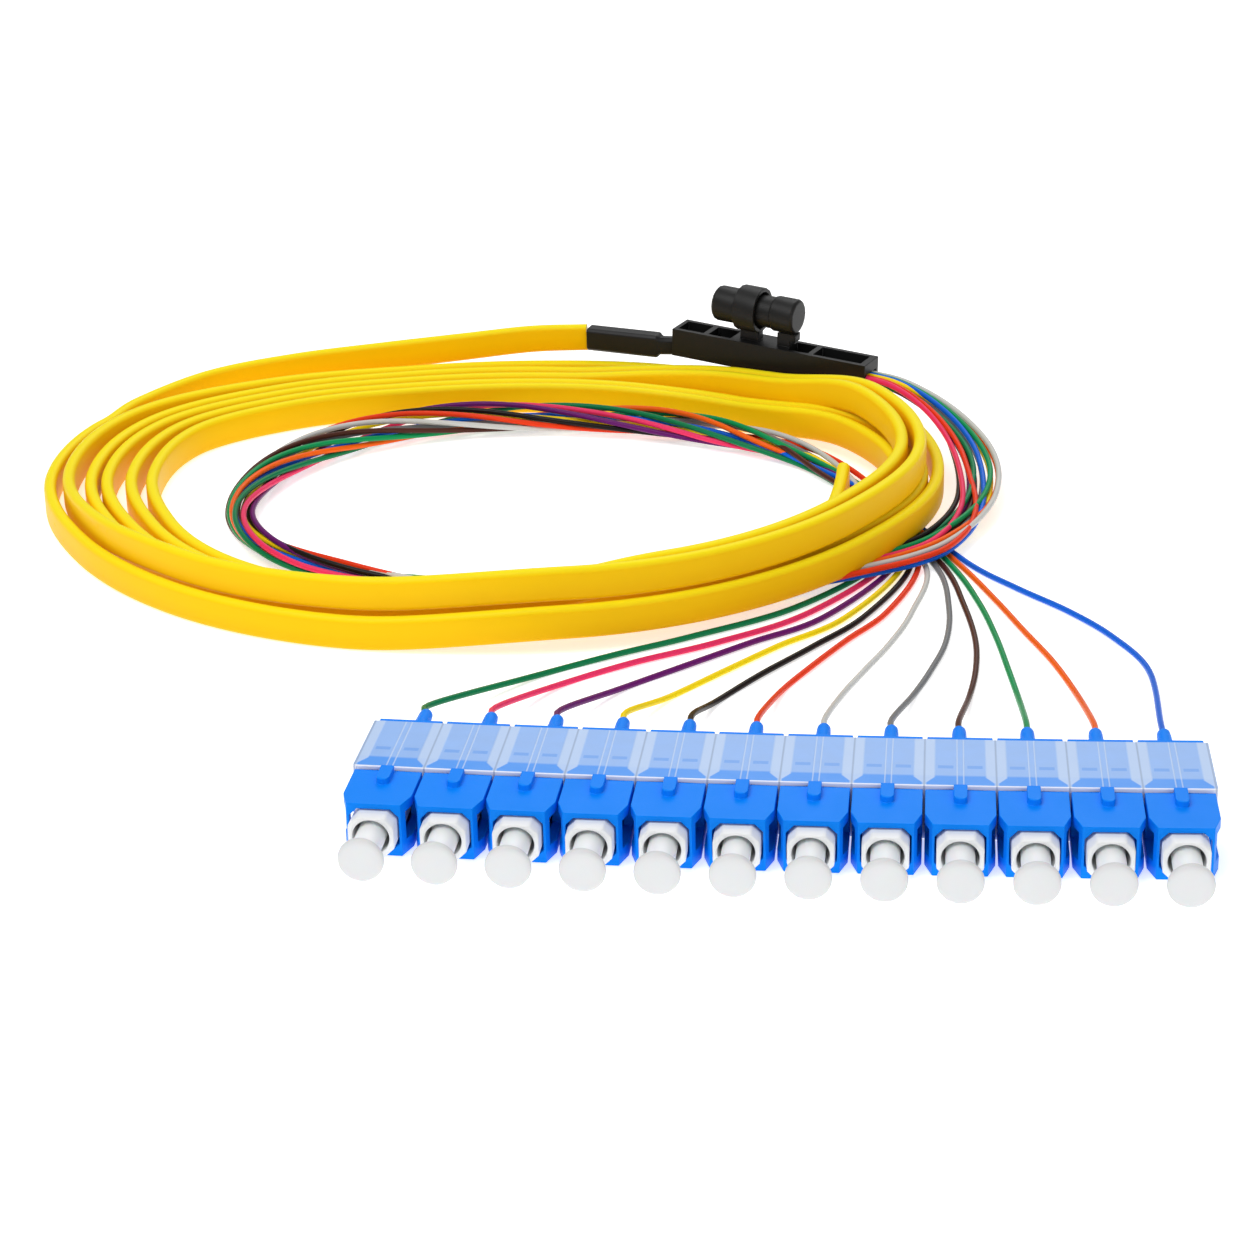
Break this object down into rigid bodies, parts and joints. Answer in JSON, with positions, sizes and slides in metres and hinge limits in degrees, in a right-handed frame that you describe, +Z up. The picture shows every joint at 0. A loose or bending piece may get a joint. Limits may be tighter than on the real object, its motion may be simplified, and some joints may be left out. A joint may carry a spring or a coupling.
{
  "type": "fibre pigtail",
  "caption": "Fan-out fibre pigtail: flat yellow cable in an oval coil, black breakout block, bare coloured fibres to a clipped strip of blue push-pull connectors with caps.",
  "frame": {"origin": "on the floor, below the holder's front edge in the middle of the connector strip", "axes": "+X along the connector strip to the right as seen from the dust caps, -Y along the connectors towards the dust caps, +Z up"},
  "size_m": [0.1814, 0.1848, 0.0214],
  "materials": {
    "grip": "satin azure plastic",
    "plug_body": "satin white plastic, with a blue boot in the looks model",
    "dust_cap": "slightly translucent grey-white plastic",
    "holder": "frosted translucent plastic",
    "cable_jacket": "smooth yellow jacket",
    "block": "near-black moulded plastic",
    "shrink_sleeve": "dark grey, slightly glossy",
    "fibre_bundle": "twelve coloured coatings side by side",
    "fibre_01": "green coating",
    "fibre_02": "pink coating",
    "fibre_03": "violet coating",
    "fibre_04": "yellow coating",
    "fibre_05": "black coating",
    "fibre_06": "orange-red coating",
    "fibre_07": "white coating",
    "fibre_08": "slate grey coating",
    "fibre_09": "brown coating",
    "fibre_10": "green coating",
    "fibre_11": "orange coating",
    "fibre_12": "blue coating"
  },
  "bodies": {
    "pigtail": {"grip_01": "grip", "plug_body_01": "plug_body", "fibre_01": "fibre_01", "grip_02": "grip", "plug_body_02": "plug_body", "fibre_02": "fibre_02", "grip_03": "grip", "plug_body_03": "plug_body", "fibre_03": "fibre_03", "grip_04": "grip", "plug_body_04": "plug_body", "fibre_04": "fibre_04", "grip_05": "grip", "plug_body_05": "plug_body", "fibre_05": "fibre_05", "grip_06": "grip", "plug_body_06": "plug_body", "fibre_06": "fibre_06", "grip_07": "grip", "plug_body_07": "plug_body", "fibre_07": "fibre_07", "grip_08": "grip", "plug_body_08": "plug_body", "fibre_08": "fibre_08", "grip_09": "grip", "plug_body_09": "plug_body", "fibre_09": "fibre_09", "grip_10": "grip", "plug_body_10": "plug_body", "fibre_10": "fibre_10", "grip_11": "grip", "plug_body_11": "plug_body", "fibre_11": "fibre_11", "grip_12": "grip", "plug_body_12": "plug_body", "fibre_12": "fibre_12", "holder": "holder", "cable_coil": "cable_jacket", "cable_tail": "cable_jacket", "cable_free_end": "cable_jacket", "breakout_block": "block", "cable_boot": "shrink_sleeve", "stowed_pin": "block", "fibre_loop": "fibre_bundle"},
    "cap_01": {"dust_cap_01": "dust_cap"},
    "cap_02": {"dust_cap_02": "dust_cap"},
    "cap_03": {"dust_cap_03": "dust_cap"},
    "cap_04": {"dust_cap_04": "dust_cap"},
    "cap_05": {"dust_cap_05": "dust_cap"},
    "cap_06": {"dust_cap_06": "dust_cap"},
    "cap_07": {"dust_cap_07": "dust_cap"},
    "cap_08": {"dust_cap_08": "dust_cap"},
    "cap_09": {"dust_cap_09": "dust_cap"},
    "cap_10": {"dust_cap_10": "dust_cap"},
    "cap_11": {"dust_cap_11": "dust_cap"},
    "cap_12": {"dust_cap_12": "dust_cap"}
  },
  "joints": [
    {"name": "cap_01_pull", "type": "slide", "parent": "pigtail", "child": "cap_01", "axis": [-0.0426, -0.9991, 0], "range_m": [0, 0.012]},
    {"name": "cap_02_pull", "type": "slide", "parent": "pigtail", "child": "cap_02", "axis": [-0.0349, -0.9994, 0], "range_m": [0, 0.012]},
    {"name": "cap_03_pull", "type": "slide", "parent": "pigtail", "child": "cap_03", "axis": [-0.0271, -0.9996, 0], "range_m": [0, 0.012]},
    {"name": "cap_04_pull", "type": "slide", "parent": "pigtail", "child": "cap_04", "axis": [-0.0194, -0.9998, 0], "range_m": [0, 0.012]},
    {"name": "cap_05_pull", "type": "slide", "parent": "pigtail", "child": "cap_05", "axis": [-0.0116, -0.9999, 0], "range_m": [0, 0.012]},
    {"name": "cap_06_pull", "type": "slide", "parent": "pigtail", "child": "cap_06", "axis": [-0.0039, -1, 0], "range_m": [0, 0.012]},
    {"name": "cap_07_pull", "type": "slide", "parent": "pigtail", "child": "cap_07", "axis": [0.0039, -1, 0], "range_m": [0, 0.012]},
    {"name": "cap_08_pull", "type": "slide", "parent": "pigtail", "child": "cap_08", "axis": [0.0116, -0.9999, 0], "range_m": [0, 0.012]},
    {"name": "cap_09_pull", "type": "slide", "parent": "pigtail", "child": "cap_09", "axis": [0.0194, -0.9998, 0], "range_m": [0, 0.012]},
    {"name": "cap_10_pull", "type": "slide", "parent": "pigtail", "child": "cap_10", "axis": [0.0271, -0.9996, 0], "range_m": [0, 0.012]},
    {"name": "cap_11_pull", "type": "slide", "parent": "pigtail", "child": "cap_11", "axis": [0.0349, -0.9994, 0], "range_m": [0, 0.012]},
    {"name": "cap_12_pull", "type": "slide", "parent": "pigtail", "child": "cap_12", "axis": [0.0426, -0.9991, 0], "range_m": [0, 0.012]}
  ]
}
